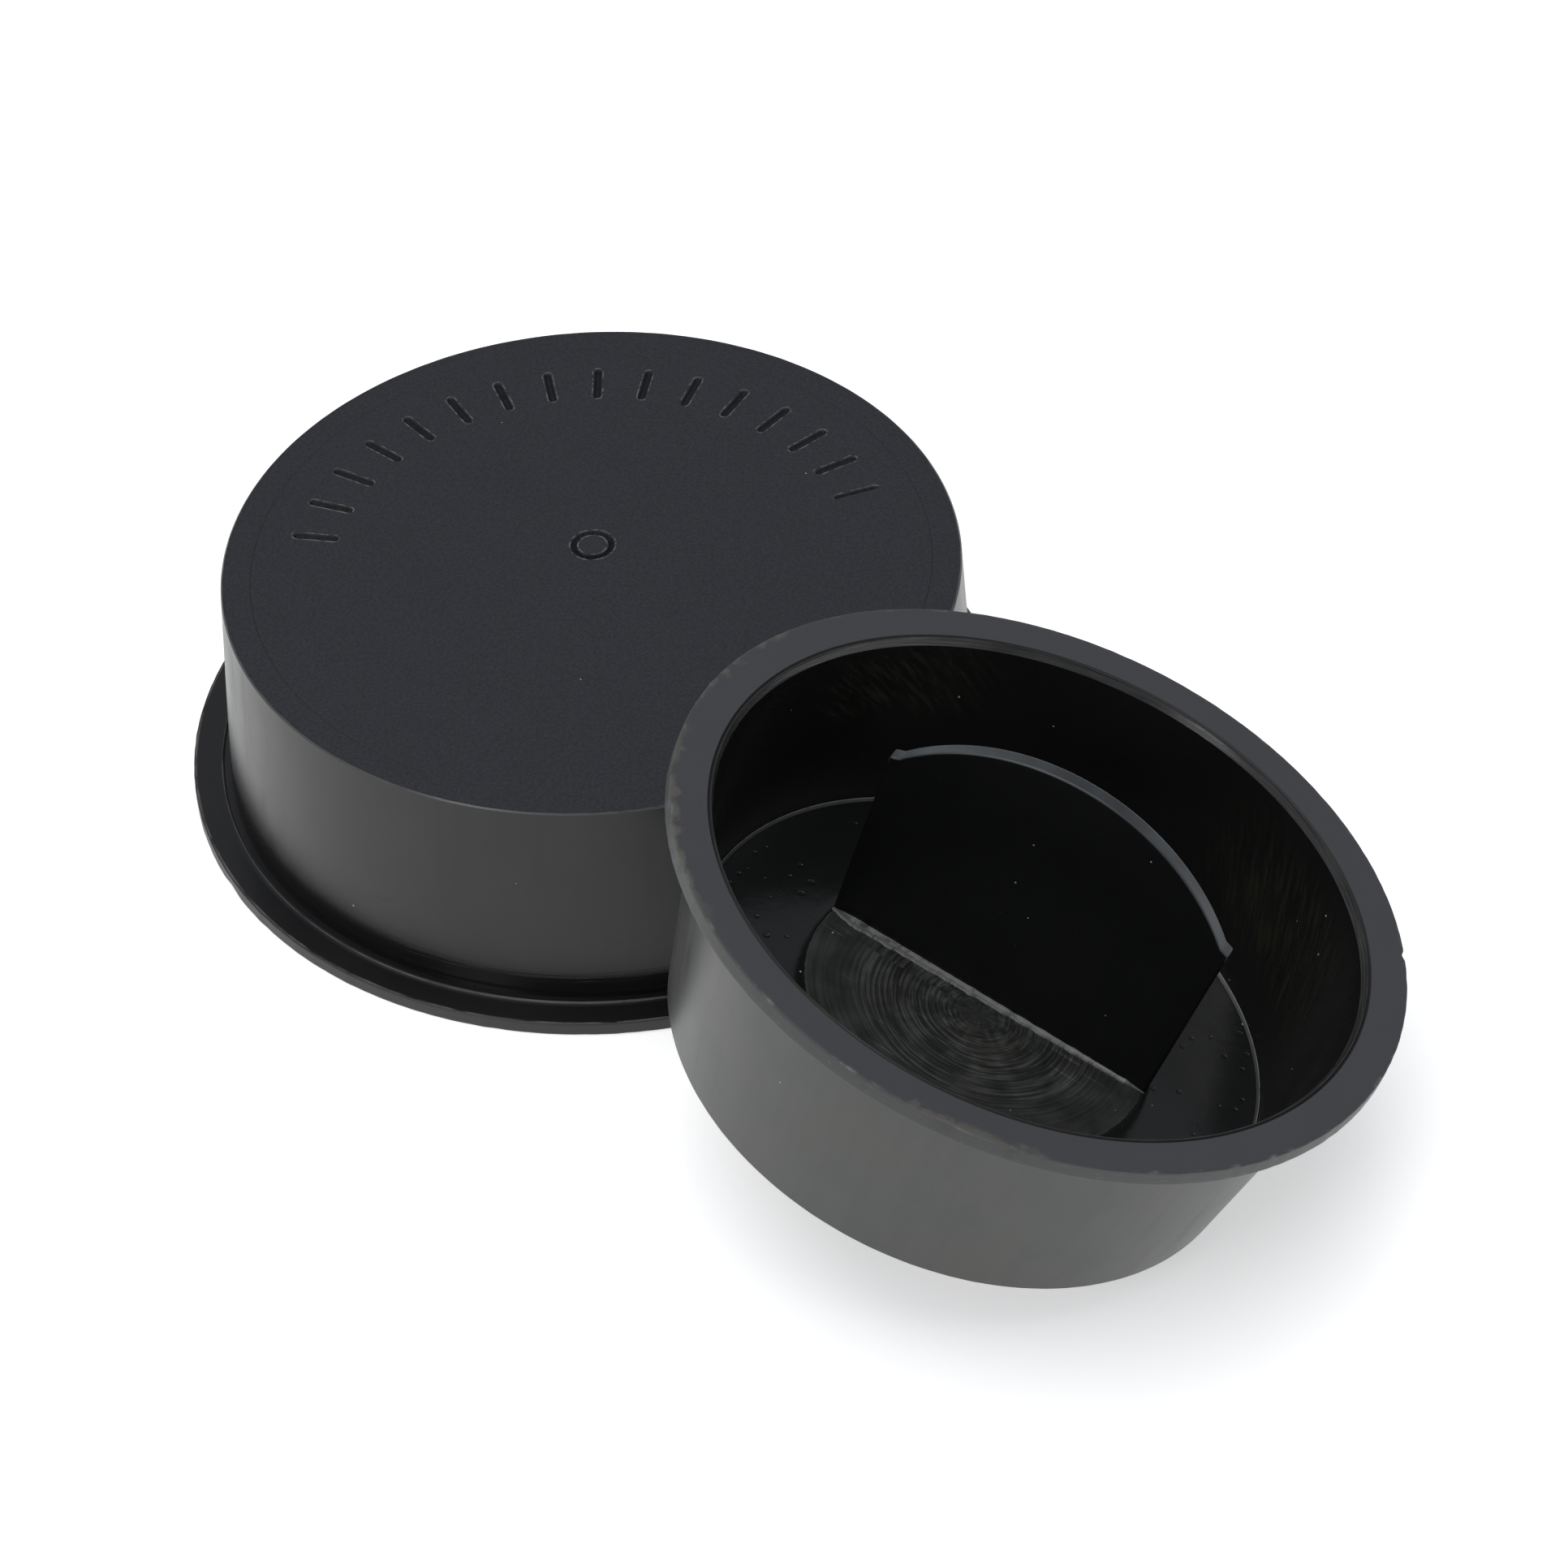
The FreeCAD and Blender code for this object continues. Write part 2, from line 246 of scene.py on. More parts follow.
def ripple(angle, seed, waves=(3, 40), size=1.0):
    """A smooth uneven line round the axis, between about -size and size."""
    chance = np.random.default_rng(seed)
    total = np.zeros_like(angle)
    counts = np.unique(np.linspace(waves[0], waves[1], 14).astype(int))
    for count in counts:
        total += np.sin(angle * count + chance.uniform(0, 2 * math.pi)) * chance.uniform(0.5, 1.0)
    return total * (size / math.sqrt(len(counts)))


def bump_at(angle, middle, half_width):
    """1 at the middle angle, in degrees, and 0 past the half width."""
    away = (np.degrees(angle) - middle + 180.0) % 360.0 - 180.0
    return np.clip(1.0 - (away / half_width) ** 2, 0.0, 1.0) ** 2


def smooth(value, low, high):
    """0 at low and 1 at high, with a soft turn at both ends."""
    share = np.clip((value - low) / (high - low), 0.0, 1.0)
    return share * share * (3.0 - 2.0 * share)


# ---------------------------------------------------------------- materials

class Surface:
    """A procedural material built up in layers, in the cap's own coordinates."""

    def __init__(self, cap, name, colour, roughness):
        self.material = bpy.data.materials.new(name if cap is None else cap.name + "_" + name)
        self.material.use_nodes = True
        self.tree = self.material.node_tree
        self.shader = self.tree.nodes["Principled BSDF"]
        self.place = self.tree.nodes.new("ShaderNodeTexCoord").outputs["Object"]
        if cap is not None:
            self.place = self.in_cap(cap)
        parts = self.node("ShaderNodeSeparateXYZ", Vector=self.place)
        self.x, self.y, self.level = parts.outputs
        squares = self.calc("MULTIPLY_ADD", self.x, self.x, self.calc("MULTIPLY", self.y, self.y))
        self.radius = self.calc("SQRT", squares)
        self.angle = self.calc("ARCTAN2", self.y, self.x)
        self.colour = (*colour, 1.0)
        self.roughness = roughness
        self.height = None

    def in_cap(self, cap):
        """The place turned into the cap's own coordinates."""
        away = self.vector("SUBTRACT", self.place, cap.base).outputs["Vector"]
        along = [self.vector("DOT_PRODUCT", away, axis).outputs["Value"] for axis in cap.turn.T]
        return self.node("ShaderNodeCombineXYZ", X=along[0], Y=along[1], Z=along[2]).outputs[0]

    def vector(self, operation, first, second):
        node = self.tree.nodes.new("ShaderNodeVectorMath")
        node.operation = operation
        self.put(node.inputs[0], first)
        self.put(node.inputs[1], second)
        return node

    def node(self, kind, **inputs):
        """A new node with some of its inputs linked or set."""
        node = self.tree.nodes.new(kind)
        for name, value in inputs.items():
            self.put(node.inputs[name.replace("_", " ")], value)
        return node

    def put(self, socket, value):
        if isinstance(value, bpy.types.NodeSocket):
            self.tree.links.new(value, socket)
        else:
            socket.default_value = value

    def calc(self, operation, first, second=0.0, third=0.0):
        node = self.tree.nodes.new("ShaderNodeMath")
        node.operation = operation
        for socket, value in zip(node.inputs, (first, second, third)):
            self.put(socket, value)
        return node.outputs[0]

    def fade(self, value, low, high):
        """0 at low and 1 at high; low may be the larger one."""
        node = self.tree.nodes.new("ShaderNodeMapRange")
        node.interpolation_type = "SMOOTHSTEP"
        self.put(node.inputs["Value"], value)
        node.inputs["From Min"].default_value = low
        node.inputs["From Max"].default_value = high
        return node.outputs[0]

    def cloud(self, size, detail=3.0, vector=None, seed=0.0):
        """Soft noise about as coarse as size, from 0 to 1 around 0.5."""
        node = self.node("ShaderNodeTexNoise", Vector=vector or self.place)
        node.noise_dimensions = "4D"
        node.inputs["W"].default_value = seed
        node.inputs["Scale"].default_value = 1.0 / size
        node.inputs["Detail"].default_value = detail
        return node.outputs[0]

    def stretched(self, along_angle, along_radius, along_level):
        """Polar coordinates, each in units of its own size; the angle's is in degrees."""
        node = self.node("ShaderNodeCombineXYZ")
        sizes = (math.radians(along_angle), along_radius, along_level)
        for socket, value, size in zip(node.inputs, (self.angle, self.radius, self.level), sizes):
            self.put(socket, self.calc("DIVIDE", value, size))
        return node.outputs[0]

    def laid_flat(self, lie, seed):
        """The place as two coordinates on a flat, a round or an upright surface."""
        first = self.calc("MULTIPLY", self.angle, WALL_ARM) if lie == "round" else self.x
        second = self.y if lie == "flat" else self.level
        first = self.calc("ADD", first, seed)
        return self.node("ShaderNodeCombineXYZ", X=first, Y=second).outputs[0]

    def specks(self, cell, size, share, lie="flat", seed=0.0):
        """Round specks up to this size, in some of the cells of a coarse net on the surface."""
        node = self.node("ShaderNodeTexVoronoi", Vector=self.laid_flat(lie, seed))
        node.voronoi_dimensions = "2D"
        node.inputs["Scale"].default_value = 1.0 / cell
        chance = self.node("ShaderNodeSeparateColor", Color=node.outputs["Color"]).outputs
        away = self.calc("DIVIDE", node.outputs["Distance"], chance[1])
        near = self.fade(away, size / cell, 0.5 * size / cell)
        return self.calc("MULTIPLY", near, self.calc("LESS_THAN", chance[0], share))

    def sector(self, middle, half, soft):
        """1 within half of the middle angle, all in degrees, fading out over soft."""
        turned = self.calc("SUBTRACT", self.angle, math.radians(middle))
        away = self.calc("ABSOLUTE", self.calc("WRAP", turned, math.pi, -math.pi))
        return self.fade(away, math.radians(half + soft), math.radians(half))

    def mix(self, mask, low, high):
        node = self.tree.nodes.new("ShaderNodeMix")
        node.data_type = "RGBA"
        for socket, value in zip((node.inputs[0], node.inputs[6], node.inputs[7]), (mask, low, high)):
            self.put(socket, value)
        return node.outputs[2]

    def layer(self, mask, colour=None, roughness=None):
        """Lay another colour or roughness over what is there, where the mask is."""
        if colour is not None:
            self.colour = self.mix(mask, self.colour, (*colour, 1.0))
        if roughness is not None:
            change = self.calc("SUBTRACT", roughness, self.roughness)
            self.roughness = self.calc("MULTIPLY_ADD", change, mask, self.roughness)

    def tint(self, pattern, low, high):
        """Multiply the colour by a number from low to high, as the pattern goes from 0 to 1."""
        scale = self.calc("MULTIPLY_ADD", pattern, high - low, low)
        node = self.node("ShaderNodeVectorMath")
        node.operation = "SCALE"
        self.put(node.inputs[0], self.colour[:3] if isinstance(self.colour, tuple) else self.colour)
        self.put(node.inputs["Scale"], scale)
        self.colour = node.outputs[0]

    def relief(self, pattern, depth):
        """Raise the surface by the pattern times depth, in metres."""
        raised = self.calc("MULTIPLY", pattern, depth)
        self.height = raised if self.height is None else self.calc("ADD", self.height, raised)

    def finish(self):
        self.put(self.shader.inputs["Base Color"], self.colour)
        self.put(self.shader.inputs["Roughness"], self.roughness)
        if self.height is not None:
            bump = self.node("ShaderNodeBump", Height=self.height, Distance=1.0)
            self.put(self.shader.inputs["Normal"], bump.outputs[0])
        return self.material


DUST = (0.32, 0.32, 0.30)
BROWN = (0.0155, 0.0150, 0.0085)
# pale colour of scuffed edges, also used as a painted highlight along the flange's edges
PALE_SCUFF_AND_HIGHLIGHT = (0.12, 0.117, 0.108)


def plastic(cap, name, colour, roughness, clouding=0.12, grain=0.08, dust=0.02, lie="flat"):
    """Black plastic with cloudy patches, fine grain and a little dust."""
    surface = Surface(cap, name, colour, roughness)
    surface.tint(surface.cloud(5.0 * MM), 1.0 - clouding, 1.0 + clouding)
    surface.tint(surface.cloud(0.09 * MM, detail=1.0), 1.0 - 2.0 * grain, 1.0 + 2.0 * grain)
    surface.layer(surface.cloud(2.5 * MM, seed=4.0), roughness=roughness + 0.08)
    if dust > 0:
        surface.layer(surface.specks(1.8 * MM, 0.09 * MM, dust, lie), colour=DUST, roughness=0.8)
    surface.relief(surface.cloud(0.15 * MM, detail=2.0), 4.0e-6)
    return surface


def face_finish(cap, face_radius):
    """The matte closed face, with a fine grain, an edge paler from rubbing and a painted highlight,
    painted shade in its sunk marks and painted highlights on their burrs.
    """
    surface = plastic(cap, "face", (0.0215, 0.0224, 0.0272), 0.6, clouding=0.05, grain=0.2, dust=0.01)
    surface.shader.inputs["Specular IOR Level"].default_value = 0.2
    surface.tint(surface.fade(surface.cloud(0.22 * MM, detail=3.0, seed=1.5), 0.3, 0.7), 0.8, 1.2)
    surface.relief(surface.cloud(0.1 * MM, detail=2.0, seed=2.0), 1.2e-5)
    # paler near the face's edge: partly wear from rubbing, partly a painted highlight along the edge
    edge = surface.fade(surface.radius, face_radius - 0.22 * MM, face_radius - 0.05 * MM)
    rubbed_and_highlit = surface.calc("MULTIPLY", edge, surface.fade(surface.cloud(1.2 * MM), 0.42, 0.62))
    surface.layer(rubbed_and_highlit, colour=(0.07, 0.07, 0.072), roughness=0.3)
    # painted shade: the sunk marks and the groove round the face's edge are darkened
    surface.layer(surface.fade(surface.level, 0.03 * MM, 0.10 * MM), colour=(0.006, 0.006, 0.007))
    # painted highlight: pale glossy patches on the raised burrs beside the marks
    bright = surface.fade(surface.cloud(0.5 * MM, detail=4.0, seed=2.5), 0.4, 0.6)
    raised = surface.fade(surface.level, -0.008 * MM, -0.022 * MM)
    surface.layer(surface.calc("MULTIPLY", bright, raised), colour=(0.11, 0.11, 0.115), roughness=0.35)
    return surface.finish()


def edge_line_finish(cap):
    """The turned edge between face and wall, paler in uneven patches from rubbing all the way round; the
    patches are partly wear and partly a painted highlight along the edge.
    """
    surface = plastic(cap, "edge_line", (0.022, 0.022, 0.023), 0.3, dust=0.0)
    # paler patches: partly wear, partly a painted highlight along the turned edge
    worn_and_highlit = surface.fade(surface.cloud(2.5 * MM, detail=3.0, seed=12.0), 0.22, 0.5)
    surface.layer(worn_and_highlit, colour=(0.06, 0.06, 0.059), roughness=0.24)
    return surface.finish()


def wall_finish(cap, colour, roughness, gloss, foot_level):
    """The satin outer wall, with soft streaks and a few scratches.

    Near foot_level, where one is given, it is darker and glossier, all the way round; the darker colour
    is painted shade from the dark flange beside it.
    """
    surface = plastic(cap, "outer_wall", colour, roughness,
                      clouding=0.3, grain=0.05, dust=0.03, lie="round")
    surface.shader.inputs["Specular IOR Level"].default_value = gloss
    warm = [colour[0] * 1.10, colour[1] * 1.07, colour[2] * 0.95]
    surface.layer(surface.fade(surface.cloud(6.0 * MM, seed=18.0), 0.42, 0.62), colour=warm)
    down = surface.cloud(1.0, vector=surface.stretched(3.0, 1.0, 9.0 * MM))
    surface.tint(surface.fade(down, 0.3, 0.7), 0.9, 1.1)
    surface.layer(surface.fade(down, 0.45, 0.75), roughness=roughness + 0.1)
    scratch = surface.cloud(1.0, vector=surface.stretched(14.0, 1.0, 0.12 * MM), seed=6.0)
    surface.relief(surface.fade(scratch, 0.68, 0.74), -4.0e-6)
    if foot_level is not None:
        # painted shade: the wall's colour is darkened near its foot, where the flange shades it; the
        # lower roughness is the plastic's own
        foot = surface.fade(surface.level, foot_level - 2.9 * MM, foot_level - 1.2 * MM)
        surface.layer(foot, colour=(0.0065, 0.0062, 0.0062), roughness=0.13)
        around = surface.stretched(25.0, 1.0, 0.22 * MM)
        rings = surface.cloud(1.0, detail=3.0, vector=around, seed=14.0)
        surface.relief(surface.calc("MULTIPLY", foot, rings), 2.5e-5)
    return surface.finish()


def inside_finish(cap, stains):
    """The glossy inner wall, darker than the outer wall partly as painted shade inside the cup. stains
    are abraded places with slanted streaks.

    Each stain is (angle, half width, level, half height, slant), its angles in degrees.
    """
    # the base colour is darker than the outer wall's: partly the plastic, partly painted shade inside
    # the cup
    surface = plastic(cap, "inside_wall", (0.0066, 0.0066, 0.0066), 0.16,
                      clouding=0.3, grain=0.08, dust=0.04, lie="round")
    around = surface.stretched(2.6, 1.0, 1.0 * MM)
    for angle, half, level, reach, slant in stains:
        slanted = surface.node("ShaderNodeVectorRotate", Vector=around, Axis=(0.0, 1.0, 0.0),
                               Angle=math.radians(slant))
        streaks = surface.node("ShaderNodeMapping", Vector=slanted.outputs[0], Scale=(0.35, 1.0, 2.6))
        streak = surface.cloud(1.0, detail=6.0, vector=streaks.outputs[0], seed=3.0)
        speckle = surface.calc("MULTIPLY", surface.fade(streak, 0.40, 0.72), 0.85)
        away = surface.calc("ABSOLUTE", surface.calc("SUBTRACT", surface.level, level))
        near = surface.fade(away, reach, 0.3 * reach)
        mask = surface.calc("MULTIPLY", surface.sector(angle, half * 0.4, half), near)
        surface.layer(surface.calc("MULTIPLY", mask, speckle), colour=BROWN, roughness=0.42)
    return surface.finish()


def lip_finish(cap):
    """The turned chamfer inside the rim, polished along its turning lines, all the way round."""
    surface = plastic(cap, "lip", (0.020, 0.020, 0.020), 0.26, dust=0.0)
    lines = surface.cloud(1.0, detail=4.0, vector=surface.stretched(9.0, 1.0, 0.10 * MM))
    surface.tint(surface.fade(lines, 0.35, 0.65), 0.6, 1.9)
    surface.layer(surface.fade(lines, 0.45, 0.65), roughness=0.2)
    surface.relief(lines, 1.6e-5)
    return surface.finish()


def rim_finish(cap, edge_radius, scuffs):
    """The flat face of the flange. scuffs are abraded places at its edge, each (angle, half width)."""
    surface = plastic(cap, "rim_face", (0.033, 0.034, 0.038), 0.55, clouding=0.08, grain=0.06, dust=0.03)
    ragged = surface.cloud(1.1 * MM, detail=5.0, seed=5.0)
    for angle, half in scuffs:
        reach = surface.calc("MULTIPLY_ADD", ragged, -3.4 * MM, edge_radius + 1.1 * MM)
        inner = surface.fade(surface.calc("SUBTRACT", surface.radius, reach), 0.0, 0.5 * MM)
        mask = surface.calc("MULTIPLY", surface.sector(angle, half * 0.5, half * 0.5), inner)
        surface.layer(surface.calc("MULTIPLY", mask, 0.7), colour=(0.080, 0.076, 0.064), roughness=0.7)
    # a pale line along the outer edge: partly scuffing, partly a painted highlight
    edge = surface.fade(surface.radius, edge_radius - 0.3 * MM, edge_radius - 0.1 * MM)
    rubbed_and_highlit = surface.calc("MULTIPLY", edge, surface.fade(ragged, 0.52, 0.75))
    surface.layer(rubbed_and_highlit, colour=PALE_SCUFF_AND_HIGHLIGHT, roughness=0.6)
    return surface.finish()


def flange_side_finish(cap, colour):
    """The outer edge of the flange, scuffed along its length."""
    surface = plastic(cap, "flange_side", colour, 0.42,
                      clouding=0.15, grain=0.1, dust=0.02, lie="round")
    lines = surface.cloud(1.0, detail=4.0, vector=surface.stretched(2.5, 1.0, 0.2 * MM), seed=1.0)
    surface.layer(surface.fade(lines, 0.6, 0.72), colour=[2.5 * c for c in colour], roughness=0.6)
    surface.relief(lines, 1.5e-5)
    return surface.finish()


def flange_back_finish(cap, edge_radius):
    """The glossy back of the flange, with an uneven pale line along its edge, partly scuffing and partly
    a painted highlight.
    """
    surface = plastic(cap, "flange_back", (0.0072, 0.0072, 0.0078), 0.22, clouding=0.2, dust=0.05)
    # pale line along the edge: partly scuffing, partly a painted highlight
    edge = surface.fade(surface.radius, edge_radius - 0.26 * MM, edge_radius - 0.16 * MM)
    uneven = surface.fade(surface.cloud(2.2 * MM, detail=4.0, seed=7.0), 0.32, 0.62)
    surface.layer(surface.calc("MULTIPLY", edge, uneven), colour=PALE_SCUFF_AND_HIGHLIGHT, roughness=0.35)
    return surface.finish()


def ridge_finish(cap):
    """The fine turned ridge round the foot of the wall, paler in uneven patches from rubbing all the way
    round; the patches are partly wear and partly a painted highlight along the ridge.
    """
    surface = plastic(cap, "foot_ridge", (0.011, 0.011, 0.012), 0.3, dust=0.0)
    # paler patches: partly wear, partly a painted highlight along the ridge
    worn_and_highlit = surface.fade(surface.cloud(2.0 * MM, detail=3.0, seed=13.0), 0.34, 0.56)
    surface.layer(worn_and_highlit, colour=(0.05, 0.05, 0.049), roughness=0.24)
    return surface.finish()


def floor_finish(cap):
    """The smooth inner floor, with small dents."""
    # the base colour is darker than the outer wall's: partly the plastic, partly painted shade at the
    # bottom of the cup
    surface = plastic(cap, "inner_floor", (0.0042, 0.0045, 0.0045), 0.13, clouding=0.3, dust=0.04)
    surface.relief(surface.specks(1.3 * MM, 0.30 * MM, 0.35, seed=0.1), -3.0e-5)
    surface.relief(surface.cloud(2.5 * MM, detail=2.0), 3.0e-5)
    return surface.finish()


def pad_finish(cap):
    """The turned pad, with arcs of fine scratches."""
    surface = plastic(cap, "turned_pad", (0.0150, 0.0158, 0.0154), 0.3, clouding=0.3, dust=0.05)
    arcs = surface.cloud(1.0, detail=2.5, vector=surface.stretched(38.0, 0.20 * MM, 1.0))
    turned = surface.calc("MULTIPLY", surface.fade(surface.radius, 0.8 * MM, 2.2 * MM),
                          surface.fade(surface.radius, 9.5 * MM, 6.5 * MM))
    strength = surface.calc("MULTIPLY_ADD", turned, 1.1, 0.25)
    arcs = surface.calc("MULTIPLY_ADD", surface.calc("SUBTRACT", arcs, 0.5), strength, 0.5)
    surface.tint(surface.fade(arcs, 0.36, 0.70), 0.6, 2.1)
    surface.relief(arcs, 2.6e-5)
    streak = surface.cloud(1.0, detail=3.0, vector=surface.stretched(16.0, 2.2 * MM, 1.0), seed=15.0)
    surface.tint(surface.fade(streak, 0.35, 0.7), 0.8, 1.7)
    straight = surface.node("ShaderNodeMapping", Vector=surface.place, Scale=(0.05, 1.0, 1.0))
    scratch = surface.cloud(0.22 * MM, detail=1.0, vector=straight.outputs[0], seed=17.0)
    surface.tint(surface.fade(scratch, 0.68, 0.76), 1.0, 2.4)
    brown = surface.fade(surface.cloud(4.0 * MM, seed=9.0), 0.5, 0.75)
    surface.layer(surface.calc("MULTIPLY", brown, 0.3), colour=(0.03, 0.026, 0.018))
    surface.layer(surface.fade(arcs, 0.5, 0.7), roughness=0.5)
    return surface.finish()


def grip_finish(cap):
    """The flat black sides of the grip."""
    return plastic(cap, "grip", (0.0030, 0.0032, 0.0031), 0.3,
                   clouding=0.25, grain=0.03, dust=0.06, lie="upright").finish()


def grip_edge_finish(cap):
    """The sawn edge of the grip, paler than its sides."""
    surface = plastic(cap, "grip_edge", (0.024, 0.028, 0.031), 0.42, clouding=0.2, grain=0.12, dust=0.02)
    surface.tint(surface.fade(surface.cloud(5.0 * MM, seed=16.0), 0.35, 0.65), 0.6, 1.6)
    return surface.finish()


def cement_finish(cap, floor):
    """Dried cement, clear and thin at its foot, with a pale crest."""
    surface = plastic(cap, "cement", (0.035, 0.036, 0.036), 0.35, clouding=0.3, dust=0.0)
    rough = surface.cloud(0.9 * MM, detail=5.0)
    crest = surface.fade(surface.level, floor + 0.10 * MM, floor + 0.17 * MM)
    pale = surface.calc("MULTIPLY", crest, surface.fade(rough, 0.28, 0.5))
    surface.layer(pale, colour=(0.150, 0.152, 0.148), roughness=0.45)
    surface.relief(rough, 2.0e-5)
    return surface.finish()


def hidden_finish(cap):
    """Sides that lie inside a joint."""
    return plastic(cap, "hidden_joint", (0.003, 0.003, 0.003), 0.6).finish()


def cap_materials(cap, sizes, wall, roughness, gloss, stains, scuffs):
    """The finishes of one cap by name. Only the large cap's wall has a darker foot, painted shade from
    its flange.
    """
    foot_level = sizes["seat"] if cap.name == "large" else None
    return {
        "face": face_finish(cap, sizes["face"]),
        "wall": wall_finish(cap, wall, roughness, gloss, foot_level),
        "edge_line": edge_line_finish(cap),
        "inside": inside_finish(cap, stains),
        "lip": lip_finish(cap),
        "rim": rim_finish(cap, sizes["edge"], scuffs),
        "flange_side": flange_side_finish(cap, wall),
        "flange_back": flange_back_finish(cap, sizes["edge"]),
        "ridge": ridge_finish(cap),
        "floor": floor_finish(cap),
        "pad": pad_finish(cap),
        "grip": grip_finish(cap),
        "grip_edge": grip_edge_finish(cap),
        "cement": cement_finish(cap, sizes["floor"]),
        "hidden": hidden_finish(cap),
    }


# ---------------------------------------------------------------- the pieces of a cap

def cap_sizes(cap):
    """The levels and radii of one cap, read from its nodes."""
    closed, ledge = cap.levels("sleeve")[:2]
    chamfer, rim = cap.levels("sleeve")[-2:]
    seat = cap.levels("flange_ring")[0]
    floor = cap.levels("grip_pad")[-1]
    plug, face = cap.radii("sleeve", closed)
    lip, wall = cap.radii("sleeve", seat)
    pad_seat = cap.levels("grip_pad")[0]
    return {
        "closed": closed, "ledge": ledge, "floor": floor, "seat": seat, "chamfer": chamfer,
        "rim": rim, "plug": plug, "face": face, "lip": lip, "wall": wall, "pad_seat": pad_seat,
        "land": cap.radii("sleeve", rim)[0],
        "mouth": cap.radii("sleeve", chamfer)[0],
        "inner_floor": cap.radii("sleeve", floor)[0],
        "edge": cap.radii("flange_ring", rim)[1],
        "pad": cap.radii("grip_pad", floor)[1],
    }


def flange(cap, sizes, materials, nicks):
    """The flange ring. nicks are places on its outer edge, each (angle, half width, depth)."""
    edge, rim, seat = sizes["edge"], sizes["rim"], sizes["seat"]

    def alter(radius, level, angle):
        outer = smooth(radius, edge - 0.5 * MM, edge)
        radius = radius + outer * (ripple(angle, 11, (20, 140), 0.012 * MM) - 0.012 * MM)
        rimward = smooth(level, seat + 0.2 * MM, rim)
        for middle, half, depth in nicks:
            radius = radius - outer * rimward * depth * bump_at(angle, middle, half)
        return radius, level

    ridge = sizes["wall"] + RIDGE_OUT
    corners = [
        Corner(sizes["lip"], seat, "flange_back", steps=6),
        Corner(ridge - 0.14 * MM, seat, "flange_back"),
        Corner(ridge - 0.06 * MM, seat + 0.06 * MM, "ridge"),
        Corner(ridge, seat - 0.035 * MM, "ridge", 0.02 * MM),
        Corner(ridge + 0.08 * MM, seat, "flange_back", steps=6),
        Corner(edge, seat, "flange_side", 0.10 * MM, steps=4),
        Corner(edge, rim, "rim", 0.10 * MM, steps=8),
        Corner(sizes["lip"] + LIP_JOINT, rim),
        Corner(sizes["lip"], rim - LIP_JOINT),
    ]
    piece = lathe(cap, cap.name + "_flange", corners, materials, even_angles(900), alter)
    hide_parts(cap.name + "_flange_ring")


def wall(cap, sizes, materials):
    """The sleeve: the tapered wall, the thin lip round the mouth and the edge of the closed face."""
    face = sizes["face"]

    def alter(radius, level, angle):
        burr = smooth(radius, face - 0.3 * MM, face) * smooth(level, 0.3 * MM, 0.0)
        groove = bump_near(radius, face - 0.28 * MM, 0.1 * MM) * (level < 0.01 * MM)
        level = level + groove * 0.05 * MM
        return radius, level - burr * (0.012 * MM + ripple(angle, 21, (8, 90), 0.010 * MM))

    corners = [
        Corner(sizes["plug"], sizes["closed"], "face", 0.03 * MM, steps=16),
        Corner(face - EDGE_CHAMFER, sizes["closed"], "edge_line"),
        Corner(face, sizes["closed"] + EDGE_CHAMFER, "wall", steps=16),
        Corner(sizes["wall"], sizes["seat"]),
        Corner(sizes["lip"], sizes["seat"]),
        Corner(sizes["lip"], sizes["rim"] - LIP_JOINT),
        Corner(sizes["lip"] - LIP_JOINT, sizes["rim"], "lip", 0.02 * MM),
        Corner(sizes["land"], sizes["rim"], "lip", 0.02 * MM, steps=4),
        Corner(sizes["mouth"], sizes["chamfer"], "inside", 0.05 * MM, steps=12),
        Corner(sizes["inner_floor"], sizes["floor"]),
        Corner(sizes["inner_floor"], sizes["ledge"]),
        Corner(sizes["plug"], sizes["ledge"]),
    ]
    piece = lathe(cap, cap.name + "_wall", corners, materials, even_angles(480), alter)
    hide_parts(cap.name + "_sleeve")


def mark_angles():
    """Angles for a face whose ticks need a closer mesh than the rest."""
    coarse = np.radians(np.arange(0.0, 360.0, 1.25))
    near_tick = np.linspace(-1.7, 1.7, 15)
    ticks = TICK_FIRST - TICK_STEP * np.arange(TICK_COUNT)
    fine = np.radians((ticks[:, None] + near_tick[None, :]).ravel() % 360.0)
    away = np.abs((coarse[:, None] - fine[None, :] + math.pi) % (2 * math.pi) - math.pi)
    kept = coarse[away.min(1) > math.radians(0.3)]
    return np.sort(np.concatenate([kept, fine]))


def engraved(radius, level, angle):
    """Sink the marks into the closed face, with uneven strokes and a small burr at their sides."""
    x = radius * np.cos(angle)
    y = radius * np.sin(angle)
    step = np.round((TICK_FIRST - np.degrees(angle)) % 360.0 / TICK_STEP)
    step = np.clip(step, 0, TICK_COUNT - 1)
    tick = np.radians(TICK_FIRST - TICK_STEP * step)
    along = x * np.cos(tick) + y * np.sin(tick) - TICK_MIDDLE_RADIUS
    aside = y * np.cos(tick) - x * np.sin(tick)
    past_end = np.maximum(np.abs(along) - TICK_HALF_LENGTH + TICK_HALF_WIDTH, 0.0)
    from_tick = np.hypot(past_end, aside) - TICK_HALF_WIDTH
    from_ring = np.abs(np.hypot(x - RING_CENTRE[0], y - RING_CENTRE[1]) - RING_RADIUS)
    away = np.minimum(from_tick, from_ring - RING_HALF_WIDTH)
    away = away + ripple(radius / MM * 2.1, 31, (1, 9), 0.025 * MM) * ripple(angle, 32, (30, 300))
    sunk = 1.0 - smooth(away, -0.16 * MM, 0.05 * MM)
    rough = 1.0 + 0.3 * ripple(radius / MM * 3.0, 33, (1, 12)) * ripple(angle, 34, (60, 400))
    burr = np.exp(-((away - 0.08 * MM) / (0.06 * MM)) ** 2)
    outside = level < 0.01 * MM
    return radius, level + outside * (sunk * MARK_DEPTH * rough - burr * 0.035 * MM)


